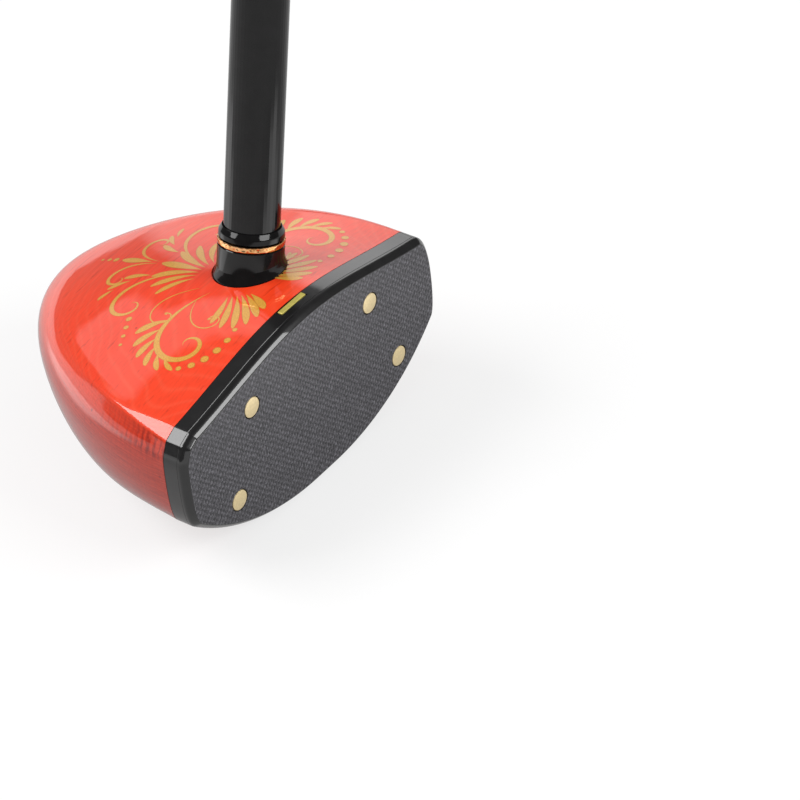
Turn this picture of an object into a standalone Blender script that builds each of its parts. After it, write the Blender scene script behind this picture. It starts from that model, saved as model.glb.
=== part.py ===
"""A park golf club: a dyed hardwood mallet head with a laminated striking face, a straight
tubular shaft and a moulded rubber grip. Metres, +Z up.

The striking face looks along -Y, the toe points to -X and the heel to +X. The origin is on the
flat landing of the sole, close to where the shaft's axis meets the ground.
"""

from math import cos, pi, radians, sin, sqrt

import bmesh
import bpy
from mathutils import Euler, Matrix, Vector

# Whole club
CLUB_LENGTH = 0.840  # along the shaft, ground to the top of the cap
SHAFT_LEAN = radians(15.7)  # towards the heel, away from upright
SHAFT_TILT = radians(1.5)  # away from the striking face
SHAFT_FOOT = (-0.0044, -0.00065, 0)  # where the shaft's axis meets the ground
GAP = 0.0003  # glue line between pieces that touch

# Head: plan and layers
HALF_WIDTH = 0.0565
PLAN_TAPER = 0.0034  # narrows the plan between the face and the back
FACE_Y = -0.0278
PLATE_THICKNESS = 0.0024
BACKING_THICKNESS = 0.0045
BODY_DEPTH = 0.0926  # behind the black layer
HEEL_SHIFT = 0.0070  # how far the deepest point of the plan sits towards the heel
FACE_CHAMFER = 0.0015
JOINT_Y = FACE_Y + PLATE_THICKNESS + BACKING_THICKNESS + 2 * GAP  # front of the wooden body

# Head: crown, walls and sole
TOP_HEIGHT = 0.0573
ARCH_HALF_SPAN = 0.0515
ARCH_DROP = 0.0084
ARCH_FADE = 0.57  # share of the arch that is gone at the back
CROWN_FALL = 2.73  # per metre, times the distance back squared
CROWN_TILT = 0.059  # rise towards the heel, reached at the back
CROWN_DIP = 0.0078  # lowers the middle of the crown just behind the face, where the ferrule is
SHOULDER_INSET = (0.0053, 0.0114)  # at the face, at the back
SHOULDER_DROP = (0.0152, 0.0091)
BELLY_INSET = (0.0022, 0.0203)
SPREAD_POWER = 0.75  # how early the wall's section changes on the way back
LANDING_HALF_WIDTH = 0.0042
SOLE_RADIUS = 0.0736
SOLE_LIFT = 5.3  # per metre, times the distance back squared
SOLE_LIFT_START = 0.0230  # behind the black layer

# Face pins and sight mark
PIN_RADIUS = 0.00305
PIN_LENGTH = 0.016
UPPER_PINS = (0.0268, 0.0426)  # distance from the middle, height
LOWER_PINS = (0.0369, 0.0171)
MARK_SIZE = (0.0105, 0.0017, 0.0012)
MARK_PLACE = (0.0012, 0.0061)  # its middle: towards the heel, behind the striking face

# Shaft and ferrule, radii and distances along the shaft from the ground
SHAFT_RADIUS = 0.0080
SHAFT_WALL = 0.0014
SHAFT_SINK = 0.0135
SLEEVE_END = 0.0647
SLEEVE_RADIUS = 0.0095
SLEEVE_FOOT = (  # radius, height above the crown
    (0.0096, 0.0024),
    (0.0098, 0.0012),
    (0.0101, 0.0005),
    (0.0105, 0.0001),
    (0.0105, -0.0005),
)
RING_LENGTH = 0.0017
COLLAR_LENGTH = 0.0031
COLLAR_RADIUS = 0.0093
COLLAR_BEVEL = (0.0009, 0.0014)  # inwards, down
CUTTER_TOP = 0.09  # clear of the crown

# Grip and cap
GRIP_LENGTH = 0.271  # with the cap
CAP_HEIGHT = 0.0130
CAP_RADII = (0.0150, 0.0153)  # top, bottom
CAP_EDGE_RADIUS = 0.0030
CAP_DOME = 0.0016  # rise of the middle above the rolled edge
CAP_FLAT_RADIUS = 0.0040
SPIGOT_RADIUS = 0.0061
SPIGOT_LENGTH = 0.010
TAPE_THICKNESS = 0.00035
GRIP_RADIUS = 0.0104
PALM_SWELL = 0.0016
PALM_SWELL_END = 0.130  # below the cap
PALM_SWELL_RUN = 0.070
GRIP_FLARE = 0.0038
GRIP_SHIFT = 0.0048  # how far the flared end and the cap sit off the shaft's axis
GRIP_FLARE_LENGTH = 0.036
GRIP_COLLAR_LENGTH = 0.016
GRIP_COLLAR_RADIUS = 0.0095
GRIP_STEP_RUN = 0.0008  # slope of the step down to the collar
GRIP_LIP = 0.0002  # the collar's rim stands out by this much
GRIP_LIP_LENGTH = 0.003
FLAT_TURN = radians(-60)  # the flat strip's direction, from the face side towards the toe
FLAT_HALF_ANGLE = radians(22.5)

# Mesh counts
HOOPS = 20
GRIP_ROWS = 26
CROWN_STEPS = 26
ROLL_STEPS = 6
ROUND_STEPS = 48


def clear_scene():
    for old in list(bpy.data.objects):
        bpy.data.objects.remove(old, do_unlink=True)


def new_collection(name, rendered=True):
    collection = bpy.data.collections.new(name)
    collection.hide_render = not rendered
    bpy.context.scene.collection.children.link(collection)
    return collection


def new_material(name, colour, roughness, metallic=0.0, coat=0.0):
    material = bpy.data.materials.new(name)
    material.use_nodes = True
    shader = material.node_tree.nodes["Principled BSDF"]
    shader.inputs["Base Color"].default_value = (*colour, 1.0)
    shader.inputs["Roughness"].default_value = roughness
    shader.inputs["Metallic"].default_value = metallic
    shader.inputs["Coat Weight"].default_value = coat
    material.diffuse_color = (*colour, 1.0)
    return material


def object_from(name, shape, collection, material=None):
    """Turns a bmesh into a named object, shaded smooth with sharp creases."""
    bmesh.ops.recalc_face_normals(shape, faces=shape.faces)
    mesh = bpy.data.meshes.new(name)
    shape.to_mesh(mesh)
    shape.free()
    mesh.shade_smooth()
    mesh.set_sharp_from_angle(angle=radians(35))
    made = bpy.data.objects.new(name, mesh)
    if material:
        mesh.materials.append(material)
    collection.objects.link(made)
    return made


def cutter_from(name, shape, cutters, parent=None):
    made = object_from(name, shape, cutters)
    made.hide_render = True
    made.display_type = "WIRE"
    made.parent = parent
    return made


def cut(target, cutter):
    modifier = target.modifiers.new(cutter.name, "BOOLEAN")
    modifier.operation = "DIFFERENCE"
    modifier.solver = "EXACT"
    modifier.object = cutter


def rod(radius, start, end, steps=ROUND_STEPS):
    """A solid cylinder along Z between two heights."""
    shape = bmesh.new()
    place = Matrix.Translation((0, 0, (start + end) / 2))
    bmesh.ops.create_cone(
        shape, cap_ends=True, segments=steps, radius1=radius, radius2=radius,
        depth=end - start, matrix=place,
    )
    return shape


def turned(name, profile, collection, material, parent, steps=ROUND_STEPS):
    """Revolves a profile of (radius, height) pairs, listed down the outside and up the bore."""
    shape = bmesh.new()
    points = [shape.verts.new((radius, 0, height)) for radius, height in profile]
    closed = profile[0][0] > 0
    for first, second in zip(points, points[1:] + points[:1] if closed else points[1:]):
        shape.edges.new((first, second))
    mesh = bpy.data.meshes.new(name)
    shape.to_mesh(mesh)
    shape.free()
    mesh.materials.append(material)
    made = bpy.data.objects.new(name, mesh)
    made.parent = parent
    collection.objects.link(made)
    screw = made.modifiers.new("Turn", "SCREW")
    screw.steps = steps
    screw.render_steps = steps
    screw.use_merge_vertices = True
    screw.merge_threshold = 0.00001
    screw.use_smooth_shade = True
    return made


def corner_arc(centre, radius, start, end, steps=5):
    """Points on an arc in the (radius, height) plane, angles from the +radius direction."""
    angles = [start + (end - start) * step / steps for step in range(steps + 1)]
    return [(centre[0] + radius * cos(a), centre[1] + radius * sin(a)) for a in angles]


def join_rings(shape, rings):
    """Faces between neighbouring rings that have the same number of points."""
    for near, far in zip(rings, rings[1:]):
        for index in range(len(near)):
            after = (index + 1) % len(near)
            shape.faces.new((near[index], near[after], far[after], far[index]))


def ease(share):
    return share * share * (3 - 2 * share)


def between(pair, share):
    return pair[0] + (pair[1] - pair[0]) * share


# Head form: x across, back measured from the rear of the black layer

def crown_height(x, back):
    """Arched across like a low bell, falling away towards the back."""
    span = abs(x) / ARCH_HALF_SPAN
    arch = 0.5 * span**2 + 0.25 * (1 - cos(pi * min(span, 1)))
    depth = back / BODY_DEPTH
    arched = TOP_HEIGHT - ARCH_DROP * arch * (1 - ARCH_FADE * depth)
    dip = CROWN_DIP * max(0, 1 - arch) * depth * (1 - depth) ** 4
    return arched - dip - CROWN_FALL * back**2 + CROWN_TILT * x * depth


def sole_height(x, back):
    """A flat landing, cambered up to toe and heel and lifted towards the back."""
    off_landing = max(0, abs(x) - LANDING_HALF_WIDTH)
    camber = SOLE_RADIUS - sqrt(SOLE_RADIUS**2 - off_landing**2)
    return camber + SOLE_LIFT * max(0, back - SOLE_LIFT_START) ** 2


def plan_point(turn):
    """The widest outline seen from above, from the toe (0) round the back to the heel (pi)."""
    across = (PLAN_TAPER - HALF_WIDTH) * cos(turn) - PLAN_TAPER * cos(3 * turn)
    return Vector((across + HEEL_SHIFT * sin(turn) ** 2, BODY_DEPTH * sin(turn)))


def plan_normal(turn):
    across = (HALF_WIDTH - PLAN_TAPER) * sin(turn) + 3 * PLAN_TAPER * sin(3 * turn)
    across += 2 * HEEL_SHIFT * sin(turn) * cos(turn)
    return Vector((-BODY_DEPTH * cos(turn), across)).normalized()


def bezier(ends, control, share):
    return ends[0] * (1 - share) ** 2 + control * 2 * share * (1 - share) + ends[1] * share**2


def wall_column(turn):
    """Points down the side wall: the shoulder that rolls off the crown, then the belly."""
    spread = sin(turn) ** SPREAD_POWER
    outer, outward = plan_point(turn), plan_normal(turn)
    probe = 0.0005

    def surface(height, inset):
        spot = outer - outward * inset
        return height(spot.x, spot.y)

    inset = between(SHOULDER_INSET, spread)
    edge = surface(crown_height, inset)
    slope = (surface(crown_height, inset + probe) - edge) / probe
    brow = edge - slope * inset
    widest = brow - between(SHOULDER_DROP, spread)
    tuck = between(BELLY_INSET, spread)
    hem = surface(sole_height, tuck)
    slope = (hem - surface(sole_height, tuck + probe)) / probe
    knee = min(hem + slope * tuck, widest)

    column = []
    for step in range(ROLL_STEPS + 1):
        share = step / ROLL_STEPS
        spot = outer - outward * inset * (1 - share) ** 2
        column.append((spot.x, spot.y, bezier((edge, widest), brow, share)))
    for step in range(1, ROLL_STEPS + 1):
        share = step / ROLL_STEPS
        spot = outer - outward * tuck * share**2
        column.append((spot.x, spot.y, bezier((widest, hem), knee, share)))
    return column


def surface_row(start, end, height):
    """Points strictly between two edge points, lying on the crown or on the sole."""
    row = []
    for step in range(1, CROWN_STEPS):
        spot = Vector(start[:2]).lerp(Vector(end[:2]), step / CROWN_STEPS)
        row.append((spot.x, spot.y, height(spot.x, spot.y)))
    return row


def head_hoop(turn):
    """One closed section: over the crown, down the heel wall, along the sole, up the toe wall."""
    toe, heel = wall_column(turn), wall_column(pi - turn)
    over = surface_row(toe[0], heel[0], crown_height)
    under = surface_row(heel[-1], toe[-1], sole_height)
    return over + heel + under + toe[::-1]


def build_head_body(collection, material):
    """Lofts the wooden body through hoops that close in towards the back."""
    shape = bmesh.new()
    hoops = []
    for index in range(HOOPS + 1):
        points = head_hoop(pi / 2 * index / HOOPS)
        hoops.append([shape.verts.new((x, JOINT_Y + back, z)) for x, back, z in points])
    join_rings(shape, hoops)
    shape.faces.new(hoops[0])
    bmesh.ops.remove_doubles(shape, verts=shape.verts, dist=0.00001)
    bmesh.ops.dissolve_degenerate(shape, edges=shape.edges, dist=0.00001)
    return object_from("head_body", shape, collection, material)


def face_layer(front_y, thickness):
    """A flat layer with the outline of the body's front."""
    shape = bmesh.new()
    outline = [shape.verts.new((x, front_y, z)) for x, _, z in head_hoop(0)]
    front = shape.faces.new(outline)
    grown = bmesh.ops.extrude_face_region(shape, geom=[front])["geom"]
    moved = [item for item in grown if isinstance(item, bmesh.types.BMVert)]
    bmesh.ops.translate(shape, verts=moved, vec=(0, thickness, 0))
    return shape


def keep_planes_flat(layer):
    """Shades the front and back of a layer flat, and only its rim smooth."""
    for polygon in layer.data.polygons:
        polygon.use_smooth = abs(polygon.normal.y) < 0.5


def build_face_plate(collection, material):
    shape = face_layer(FACE_Y, PLATE_THICKNESS)
    rim = [edge for edge in shape.edges if all(abs(v.co.y - FACE_Y) < 1e-6 for v in edge.verts)]
    bmesh.ops.bevel(shape, geom=rim, offset=FACE_CHAMFER, segments=1, affect="EDGES")
    plate = object_from("face_plate", shape, collection, material)
    keep_planes_flat(plate)
    return plate


def build_backing(collection, material):
    front_y = FACE_Y + PLATE_THICKNESS + GAP
    backing = object_from("face_backing", face_layer(front_y, BACKING_THICKNESS), collection, material)
    keep_planes_flat(backing)
    return backing


def pin_places():
    """Name and (x, z) of each face pin."""
    for row, (reach, height) in (("upper", UPPER_PINS), ("lower", LOWER_PINS)):
        for side, sign in (("toe", -1), ("heel", 1)):
            yield f"{row}_{side}", sign * reach, height


def build_pins(collection, cutters, material, layers):
    """Brass pins ground flush with the striking face, and their holes through the layers."""
    along_y = Matrix.Rotation(-pi / 2, 4, "X")
    for place, x, z in pin_places():
        shape = rod(PIN_RADIUS, 0, PIN_LENGTH, 32)
        bmesh.ops.transform(shape, matrix=along_y, verts=shape.verts)
        pin = object_from(f"face_pin_{place}", shape, collection, material)
        hole = rod(PIN_RADIUS + GAP, -0.002, PIN_LENGTH + GAP, 32)
        bmesh.ops.transform(hole, matrix=along_y, verts=hole.verts)
        drill = cutter_from(f"pin_hole_{place}", hole, cutters)
        for placed in (pin, drill):
            placed.location = (x, FACE_Y, z)
        for layer in layers:
            cut(layer, drill)


def build_sight_mark(collection, cutters, material, backing):
    """A small bar let into the top of the black layer, in line with the middle of the face."""
    across, set_back = MARK_PLACE
    middle = Vector((across, FACE_Y + set_back, TOP_HEIGHT - MARK_SIZE[2] / 2 + 0.0001))

    def bar(grow, place):
        shape = bmesh.new()
        bmesh.ops.create_cube(shape, size=1)
        bmesh.ops.scale(shape, vec=[side + 2 * grow for side in MARK_SIZE], verts=shape.verts)
        bmesh.ops.translate(shape, vec=place, verts=shape.verts)
        return shape

    mark = object_from("sight_mark", bar(0, (0, 0, 0)), collection, material)
    mark.location = middle
    bevel = mark.modifiers.new("Edges", "BEVEL")
    bevel.width = 0.00015
    bevel.segments = 1
    groove = cutter_from("mark_groove", bar(GAP, (0, 0, 0)), cutters)
    groove.location = middle + Vector((0, 0, 0.0002))
    cut(backing, groove)


def build_shaft(collection, material, axis):
    top = CLUB_LENGTH - CAP_HEIGHT - GAP
    bore = SHAFT_RADIUS - SHAFT_WALL
    rim = 0.0003
    profile = [
        (SHAFT_RADIUS - rim, top),
        (SHAFT_RADIUS, top - rim),
        (SHAFT_RADIUS, SHAFT_SINK + rim),
        (SHAFT_RADIUS - rim, SHAFT_SINK),
        (bore, SHAFT_SINK),
        (bore, top),
    ]
    turned("shaft", profile, collection, material, axis)


def crown_along_shaft(x, y):
    """Height along the shaft at which a line parallel to its axis, (x, y) off it, meets the crown."""
    turned_by = Euler((-SHAFT_TILT, SHAFT_LEAN, 0)).to_matrix()
    height = TOP_HEIGHT
    for _ in range(8):
        spot = turned_by @ Vector((x, y, height)) + Vector(SHAFT_FOOT)
        height -= spot.z - crown_height(spot.x, spot.y - JOINT_Y)
    return height


def level_ring(shape, radius, height):
    turns = [2 * pi * step / ROUND_STEPS for step in range(ROUND_STEPS)]
    return [shape.verts.new((radius * cos(a), radius * sin(a), height)) for a in turns]


def crown_ring(shape, radius, rise):
    """A ring round the shaft that keeps the same rise above the crown all the way round."""
    ring = level_ring(shape, radius, 0)
    for point in ring:
        point.co.z = crown_along_shaft(point.co.x, point.co.y) + rise
    return ring


def build_sleeve(collection, material, axis):
    """The ferrule's lower part: its foot spreads out where it meets the crown."""
    bore = SHAFT_RADIUS + GAP
    shape = bmesh.new()
    rings = [level_ring(shape, bore, SLEEVE_END), level_ring(shape, SLEEVE_RADIUS, SLEEVE_END)]
    rings += [crown_ring(shape, radius, rise) for radius, rise in SLEEVE_FOOT]
    rings.append(crown_ring(shape, bore, SLEEVE_FOOT[-1][1]))
    join_rings(shape, rings + rings[:1])
    sleeve = object_from("ferrule_sleeve", shape, collection, material)
    sleeve.parent = axis


def build_ferrule(collection, materials, axis):
    """Sleeve let into the crown, a thin metal ring, and a collar with a bevelled top."""
    build_sleeve(collection, materials["ferrule"], axis)
    bore = SHAFT_RADIUS + GAP
    ring_start = SLEEVE_END + GAP
    ring_end = ring_start + RING_LENGTH
    ring_radius = SLEEVE_RADIUS + 0.0001
    edge = 0.0002
    ring = [
        (ring_radius - edge, ring_end),
        (ring_radius, ring_end - edge),
        (ring_radius, ring_start + edge),
        (ring_radius - edge, ring_start),
        (bore, ring_start),
        (bore, ring_end),
    ]
    turned("ferrule_ring", ring, collection, materials["ring"], axis)

    collar_start = ring_end + GAP
    collar_end = collar_start + COLLAR_LENGTH
    inwards, down = COLLAR_BEVEL
    soften = 0.0001
    collar = [
        (COLLAR_RADIUS - inwards, collar_end),
        (COLLAR_RADIUS - soften, collar_end - down),
        (COLLAR_RADIUS, collar_end - down - 3 * soften),
        (COLLAR_RADIUS + soften, collar_start),
        (bore, collar_start),
        (bore, collar_end),
    ]
    turned("ferrule_collar", collar, collection, materials["ferrule"], axis)


def bore_head(body, cutters, axis):
    """The blind hole for the shaft and the pocket that the ferrule's foot sits in."""
    hole = rod(SHAFT_RADIUS + GAP, SHAFT_SINK - GAP, CUTTER_TOP)
    cut(body, cutter_from("shaft_hole", hole, cutters, axis))
    radius, rise = SLEEVE_FOOT[-1][0] + GAP, SLEEVE_FOOT[-1][1] - GAP
    pocket = bmesh.new()
    floor = crown_ring(pocket, radius, rise)
    top = level_ring(pocket, radius, CUTTER_TOP)
    join_rings(pocket, [floor, top])
    pocket.faces.new(top)
    middle = pocket.verts.new((0, 0, crown_along_shaft(0, 0) + rise))
    for first, second in zip(floor, floor[1:] + floor[:1]):
        pocket.faces.new((middle, first, second))
    cut(body, cutter_from("ferrule_pocket", pocket, cutters, axis))


def grip_end():
    return CLUB_LENGTH - CAP_HEIGHT - GAP


def grip_flare(distance):
    """Share of the flare, from 1 at the cap to 0, at a distance below it."""
    return max(0, 1 - distance / GRIP_FLARE_LENGTH) ** 3


def grip_radius(distance):
    """A slim lower part, a palm swell and a flared end."""
    swell = ease(min(1, max(0, PALM_SWELL_END - distance) / PALM_SWELL_RUN))
    return GRIP_RADIUS + PALM_SWELL * swell + GRIP_FLARE * grip_flare(distance)


def away_from_flat(distance):
    """Shifts a centre off the shaft's axis, so that the flare leaves the flat strip alone."""
    return Vector((-sin(FLAT_TURN), cos(FLAT_TURN), 0)) * distance


def grip_ring(shape, radius, height, shift=0, flat=True):
    """One section of the rubber: a circle with a flat strip along one side."""
    centre = away_from_flat(shift) + Vector((0, 0, height))
    ring = []
    for step in range(ROUND_STEPS):
        turn = 2 * pi * step / ROUND_STEPS
        off_flat = min(turn, 2 * pi - turn)
        reach = radius
        if flat and off_flat < FLAT_HALF_ANGLE:
            reach = radius * cos(FLAT_HALF_ANGLE) / cos(off_flat)
        spot = Vector((sin(turn + FLAT_TURN), -cos(turn + FLAT_TURN), 0)) * reach
        ring.append(shape.verts.new(centre + spot))
    return ring


def build_grip(collection, material, axis):
    """The rubber sleeve: tapered, with a flat strip, a one-sided flare and a plain lower collar."""
    top, bottom = grip_end(), CLUB_LENGTH - GRIP_LENGTH
    bore = SHAFT_RADIUS + TAPE_THICKNESS + 2 * GAP
    length = top - bottom - GRIP_COLLAR_LENGTH
    shape = bmesh.new()
    rings = []
    for row in range(GRIP_ROWS + 1):
        distance = length * (row / GRIP_ROWS) ** 1.4
        shift = GRIP_SHIFT * grip_flare(distance)
        rings.append(grip_ring(shape, grip_radius(distance), top - distance, shift))
    collar = (
        (GRIP_COLLAR_RADIUS, bottom + GRIP_COLLAR_LENGTH - GRIP_STEP_RUN),
        (GRIP_COLLAR_RADIUS, bottom + GRIP_LIP_LENGTH),
        (GRIP_COLLAR_RADIUS + GRIP_LIP, bottom + 3 * GRIP_LIP),
        (GRIP_COLLAR_RADIUS - GRIP_LIP, bottom),
        (bore, bottom),
        (bore, top),
    )
    for radius, height in collar:
        rings.append(grip_ring(shape, radius, height, flat=False))
    join_rings(shape, rings + rings[:1])
    grip = object_from("grip", shape, collection, material)
    grip.parent = axis


def build_tape(collection, material, axis):
    """The thin tape sleeve that holds the rubber to the shaft."""
    inner = SHAFT_RADIUS + GAP
    outer = inner + TAPE_THICKNESS
    top = grip_end() - 0.001
    bottom = CLUB_LENGTH - GRIP_LENGTH + 0.002
    profile = [(outer, top), (outer, bottom), (inner, bottom), (inner, top)]
    turned("grip_tape", profile, collection, material, axis, 32)


def build_cap(collection, cutters, material, axis):
    """A domed cap centred on the flared end, with a spigot that plugs the shaft."""
    top, under = CLUB_LENGTH, CLUB_LENGTH - CAP_HEIGHT
    edge = CAP_EDGE_RADIUS
    rolled = corner_arc((CAP_RADII[0] - edge, top - CAP_DOME - edge), edge, radians(80), 0)
    profile = [(0, top), (CAP_FLAT_RADIUS, top)] + rolled + [
        (CAP_RADII[1], under + 0.0008),
        (CAP_RADII[1] - 0.0005, under),
        (0, under),
    ]
    cap = turned("grip_cap", profile, collection, material, axis)
    cap.location = away_from_flat(GRIP_SHIFT)
    spigot = rod(SPIGOT_RADIUS, under - SPIGOT_LENGTH, under + 0.004, 32)
    plug = cutter_from("cap_spigot", spigot, cutters, axis)
    joined = cap.modifiers.new("Spigot", "BOOLEAN")
    joined.operation = "UNION"
    joined.solver = "EXACT"
    joined.object = plug


def main():
    clear_scene()
    club = new_collection("park_golf_club")
    cutters = new_collection("cutters", rendered=False)
    wood = new_material("dyed_wood", (0.85, 0.10, 0.03), 0.12, coat=1.0)
    black = new_material("black_lacquer", (0.02, 0.02, 0.022), 0.15, coat=0.6)
    weave = new_material("woven_face", (0.06, 0.06, 0.065), 0.45)
    brass = new_material("brass", (0.72, 0.56, 0.30), 0.30, metallic=1.0)
    gold = new_material("gold_trim", (0.80, 0.45, 0.22), 0.22, metallic=1.0)
    resin = new_material("ferrule_resin", (0.012, 0.011, 0.012), 0.12)
    carbon = new_material("shaft_lacquer", (0.012, 0.012, 0.014), 0.10, coat=1.0)
    rubber = new_material("grip_rubber", (0.055, 0.052, 0.055), 0.60)
    tape = new_material("tape", (0.75, 0.72, 0.62), 0.80)
    red = new_material("cap_rubber", (0.90, 0.12, 0.09), 0.40)

    axis = bpy.data.objects.new("shaft_axis", None)
    axis.location = SHAFT_FOOT
    axis.rotation_euler = (-SHAFT_TILT, SHAFT_LEAN, 0)
    club.objects.link(axis)

    body = build_head_body(club, wood)
    backing = build_backing(club, black)
    plate = build_face_plate(club, weave)
    build_pins(club, cutters, brass, (plate, backing, body))
    build_sight_mark(club, cutters, brass, backing)
    bore_head(body, cutters, axis)
    build_shaft(club, carbon, axis)
    build_ferrule(club, {"ferrule": resin, "ring": gold}, axis)
    build_grip(club, rubber, axis)
    build_tape(club, tape, axis)
    build_cap(club, cutters, red, axis)


main()
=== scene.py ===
"""Looks of the park golf club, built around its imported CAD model. Metres, in the CAD's frame:
+Z up, the striking face looks along -Y, the toe points to -X and the heel to +X.
"""

from math import atan2, cos, degrees, pi, radians, sin, sqrt, tan

import bmesh
import bpy
from mathutils import Euler, Matrix, Vector


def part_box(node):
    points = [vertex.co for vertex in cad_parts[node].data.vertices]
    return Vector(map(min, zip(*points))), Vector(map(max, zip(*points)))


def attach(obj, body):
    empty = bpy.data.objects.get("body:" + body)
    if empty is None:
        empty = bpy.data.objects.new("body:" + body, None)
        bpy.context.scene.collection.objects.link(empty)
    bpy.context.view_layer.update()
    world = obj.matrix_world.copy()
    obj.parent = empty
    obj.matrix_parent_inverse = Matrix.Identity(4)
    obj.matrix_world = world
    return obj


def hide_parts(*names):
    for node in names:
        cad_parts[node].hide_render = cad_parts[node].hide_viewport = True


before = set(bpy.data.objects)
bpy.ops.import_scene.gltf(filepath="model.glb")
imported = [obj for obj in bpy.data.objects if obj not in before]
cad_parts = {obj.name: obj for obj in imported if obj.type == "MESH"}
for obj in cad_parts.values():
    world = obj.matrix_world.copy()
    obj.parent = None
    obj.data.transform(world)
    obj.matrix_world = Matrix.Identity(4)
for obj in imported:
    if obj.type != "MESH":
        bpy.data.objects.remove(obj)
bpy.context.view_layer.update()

# The club's own dimensions, as in its CAD source
GAP = 0.0003
SHAFT_LEAN = radians(15.7)
SHAFT_TILT = radians(1.5)
SHAFT_FOOT = (-0.0044, -0.00065, 0)
CLUB_LENGTH = 0.840
HALF_WIDTH = 0.0565
PLAN_TAPER = 0.0034
FACE_Y = -0.0278
PLATE_THICKNESS = 0.0024
BACKING_THICKNESS = 0.0045
BODY_DEPTH = 0.0926
HEEL_SHIFT = 0.0070
FACE_CHAMFER = 0.0015
TOP_HEIGHT = 0.0573
ARCH_HALF_SPAN = 0.0515
ARCH_DROP = 0.0084
ARCH_FADE = 0.57
CROWN_FALL = 2.73
CROWN_TILT = 0.059
CROWN_DIP = 0.0078
SHOULDER_INSET = (0.0053, 0.0114)
SHOULDER_DROP = (0.0152, 0.0091)
BELLY_INSET = (0.0022, 0.0203)
SPREAD_POWER = 0.75
LANDING_HALF_WIDTH = 0.0042
SOLE_RADIUS = 0.0736
SOLE_LIFT = 5.3
SOLE_LIFT_START = 0.0230
PIN_RADIUS = 0.00305
PIN_LENGTH = 0.016
PIN_PLACES = {
    "upper_toe": (-0.0268, 0.0426),
    "upper_heel": (0.0268, 0.0426),
    "lower_toe": (-0.0369, 0.0171),
    "lower_heel": (0.0369, 0.0171),
}
SHAFT_RADIUS = 0.0080
SHAFT_SINK = 0.0135
SLEEVE_END = 0.0647
SLEEVE_RADIUS = 0.0095
SLEEVE_SEAT = (0.0105, -0.0005)
RING_LENGTH = 0.0017
COLLAR_LENGTH = 0.0031
COLLAR_RADIUS = 0.0093
COLLAR_BEVEL = (0.0009, 0.0014)
GRIP_LENGTH = 0.271
CAP_HEIGHT = 0.0130
CAP_RADII = (0.0150, 0.0153)
CAP_EDGE_RADIUS = 0.0030
CAP_DOME = 0.0016
SPIGOT_RADIUS = 0.0061
SPIGOT_LENGTH = 0.010
GRIP_RADIUS = 0.0104
PALM_SWELL = 0.0016
PALM_SWELL_END = 0.130
PALM_SWELL_RUN = 0.070
GRIP_FLARE = 0.0038
GRIP_SHIFT = 0.0048
GRIP_FLARE_LENGTH = 0.036
GRIP_COLLAR_LENGTH = 0.016
GRIP_COLLAR_RADIUS = 0.0095
TAPE_THICKNESS = 0.00035
FLAT_TURN = radians(-60)
FLAT_HALF_ANGLE = radians(22.5)

JOINT_Y = FACE_Y + PLATE_THICKNESS + BACKING_THICKNESS + 2 * GAP
SHAFT_TURN = Euler((-SHAFT_TILT, SHAFT_LEAN, 0)).to_matrix().to_4x4()
SHAFT_AXIS = Matrix.Translation(SHAFT_FOOT) @ SHAFT_TURN

# Finer forms than the CAD's. The shoulder has a flat facet by the face, then a soft edge
FACET_LENGTH = 0.0045
FACET_TILT = radians(28)
FACET_REACH = 0.0013
FACET_TURNS = radians(16)
EDGE_TURNS = (radians(15), radians(46))
EDGE_SOFTNESS = 0.0012
BROW_SHARE = 0.36
BROW_TILT = radians(3)
WALL_TILT = (radians(57), radians(64))
WALL_LENGTH = 0.0044
# The plate's softened chamfer, as two curves of (depth behind the face, inset)
PLATE_CORNERS = (
    ((0, 0.0017), (0, FACE_CHAMFER), (0.0003, FACE_CHAMFER - 0.0003)),
    ((0.0007, FACE_CHAMFER - 0.0007), (FACE_CHAMFER, 0), (0.0022, 0)),
)
# The sleeve's foot: (radius, height over the crown), a little slimmer than its seat
FOOT_LIP = (
    (0.0095, 0.0030), (0.0098, 0.0018), (0.0101, 0.0009), (0.0104, 0.0001), (0.0104, -0.0005),
)

# Faces that would touch are this far apart
SEAM = 0.00002
# How far cutters pass the surface that they open, and where those along the shaft end
OVERRUN = 0.002
BORE_TOP = 0.09

# Mesh counts, and the share of the roll that EDGE_STEPS of its ROLL_STEPS go to
HOOPS = 72
CROWN_STEPS = 96
EDGE_STEPS = 20
EDGE_SHARE = 0.4
ROLL_STEPS = 32
CURVE_STEPS = 24
BELLY_STEPS = 18
TURNS = 128
PIN_TURNS = 64


# Meshes

def mesh_object(name, vertices, faces, materials, crease=35, body=None):
    """An object with sharp edges above the crease angle; body is a tone for each vertex."""
    mesh = bpy.data.meshes.new(name)
    mesh.from_pydata(vertices, [], faces)
    if body:
        mesh.attributes.new("body", "FLOAT", "POINT").data.foreach_set("value", body)
    mesh.validate()
    shape = bmesh.new()
    shape.from_mesh(mesh)
    bmesh.ops.remove_doubles(shape, verts=shape.verts, dist=1e-7)
    bmesh.ops.recalc_face_normals(shape, faces=shape.faces)
    shape.to_mesh(mesh)
    shape.free()
    mesh.shade_smooth()
    mesh.set_sharp_from_angle(angle=radians(crease))
    for material in materials:
        mesh.materials.append(material)
    made = bpy.data.objects.new(name, mesh)
    bpy.context.scene.collection.objects.link(made)
    return made


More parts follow.
